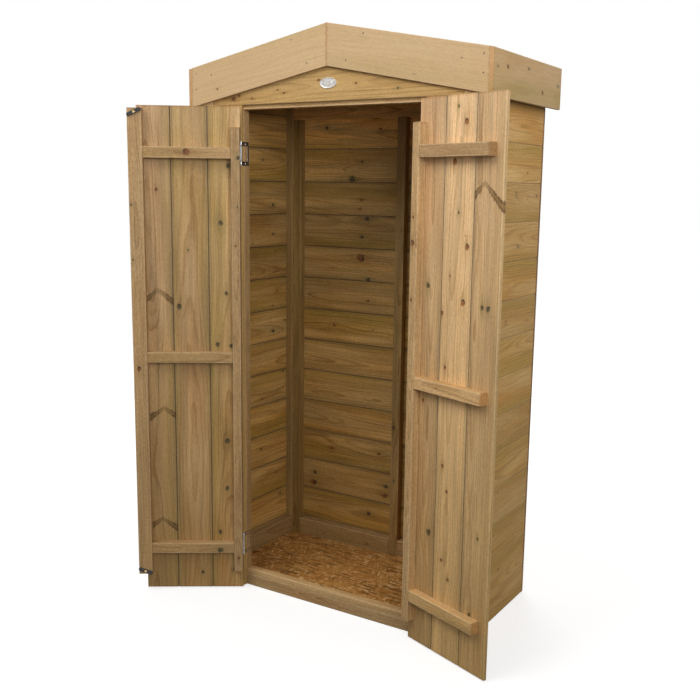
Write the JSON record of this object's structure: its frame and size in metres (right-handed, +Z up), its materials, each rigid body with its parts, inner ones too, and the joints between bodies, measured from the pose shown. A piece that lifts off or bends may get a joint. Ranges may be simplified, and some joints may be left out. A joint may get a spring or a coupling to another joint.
{
  "type": "garden storage cabinet",
  "caption": "Narrow timber garden store with an apex roof, boarded walls and a pair of ledged doors on flush hinges, held by turn buttons and a hasp.",
  "frame": {"origin": "middle of the floor's central bearer, on the underside that stands on the ground, at the centre of the body's footprint", "axes": "+Z up, +X to the right as seen from the front, +Y from the doors to the back wall"},
  "size_m": [1.2511, 0.7554, 1.852],
  "materials": {
    "treated_boards": "planed, pressure-treated softwood",
    "trim_boards": "planed, pressure-treated softwood",
    "framing_timber": "planed softwood",
    "strand_board": "pressed strands",
    "roofing_felt": "mineral",
    "zinc_plated_steel": "bright zinc plate",
    "black_steel": "black japanned",
    "plaque": "pressed, satin"
  },
  "bodies": {
    "cabinet": {"floor_bearers": "framing_timber", "floor_panel": "strand_board", "front_base_rail": "framing_timber", "sill_rail": "framing_timber", "left_wall_boards": "treated_boards", "right_wall_boards": "treated_boards", "back_wall_boards": "treated_boards", "left_front_batten": "framing_timber", "left_rear_batten": "framing_timber", "right_front_batten": "framing_timber", "right_rear_batten": "framing_timber", "left_bottom_rail": "framing_timber", "right_bottom_rail": "framing_timber", "left_eaves_rail": "framing_timber", "right_eaves_rail": "framing_timber", "back_left_batten": "framing_timber", "back_middle_batten": "framing_timber", "back_right_batten": "framing_timber", "back_bottom_rails": "framing_timber", "back_top_rail": "framing_timber", "left_door_post": "framing_timber", "right_door_post": "framing_timber", "header_rail": "framing_timber", "left_side_board": "treated_boards", "right_side_board": "treated_boards", "left_corner_strip": "trim_boards", "right_corner_strip": "trim_boards", "gable_boards": "treated_boards", "gable_plaque": "plaque", "ridge_beam": "framing_timber", "left_roof_deck": "strand_board", "right_roof_deck": "strand_board", "roof_felt": "roofing_felt", "front_left_bargeboard": "trim_boards", "front_right_bargeboard": "trim_boards", "rear_left_bargeboard": "trim_boards", "rear_right_bargeboard": "trim_boards", "left_fascia": "trim_boards", "right_fascia": "trim_boards", "trim_nails": "zinc_plated_steel", "hinge_frame_leaves": "zinc_plated_steel", "hinge_pins": "zinc_plated_steel", "frame_screws": "zinc_plated_steel"},
    "left_door": {"left_door_boards": "treated_boards", "left_door_stile": "framing_timber", "left_door_ledges": "framing_timber", "meeting_strip": "framing_timber", "left_hinge_leaves": "zinc_plated_steel", "left_door_screws": "zinc_plated_steel", "button_screws": "zinc_plated_steel", "staple": "zinc_plated_steel"},
    "right_door": {"right_door_boards": "treated_boards", "right_door_stile": "framing_timber", "right_door_ledges": "framing_timber", "right_hinge_leaves": "zinc_plated_steel", "right_door_screws": "zinc_plated_steel", "hasp_leaf": "zinc_plated_steel"},
    "top_button": {"top_turn_button": "black_steel"},
    "bottom_button": {"bottom_turn_button": "black_steel"},
    "strap": {"hasp_strap": "zinc_plated_steel"}
  },
  "joints": [
    {"name": "left_door_hinge", "type": "hinge", "parent": "cabinet", "child": "left_door", "pos_m": [-0.331, -0.2535, 0.8165], "axis": [0, 0, -1], "range_deg": [-145.5, 24.5]},
    {"name": "right_door_hinge", "type": "hinge", "parent": "cabinet", "child": "right_door", "pos_m": [0.331, -0.2535, 0.8165], "axis": [0, 0, 1], "range_deg": [-159.5, 10.5]},
    {"name": "top_button_turn", "type": "hinge", "parent": "left_door", "child": "top_button", "pos_m": [-0.57689, -0.47923, 1.598], "axis": [0.5664, -0.8241, 0], "range_deg": [-25, 65]},
    {"name": "bottom_button_turn", "type": "hinge", "parent": "left_door", "child": "bottom_button", "pos_m": [-0.57689, -0.47923, 0.075], "axis": [0.5664, -0.8241, 0], "range_deg": [-70, 20]},
    {"name": "strap_hinge", "type": "hinge", "parent": "right_door", "child": "strap", "pos_m": [0.62523, -0.36458, 0.905], "axis": [0, 0, -1], "range_deg": [0, 180]}
  ]
}
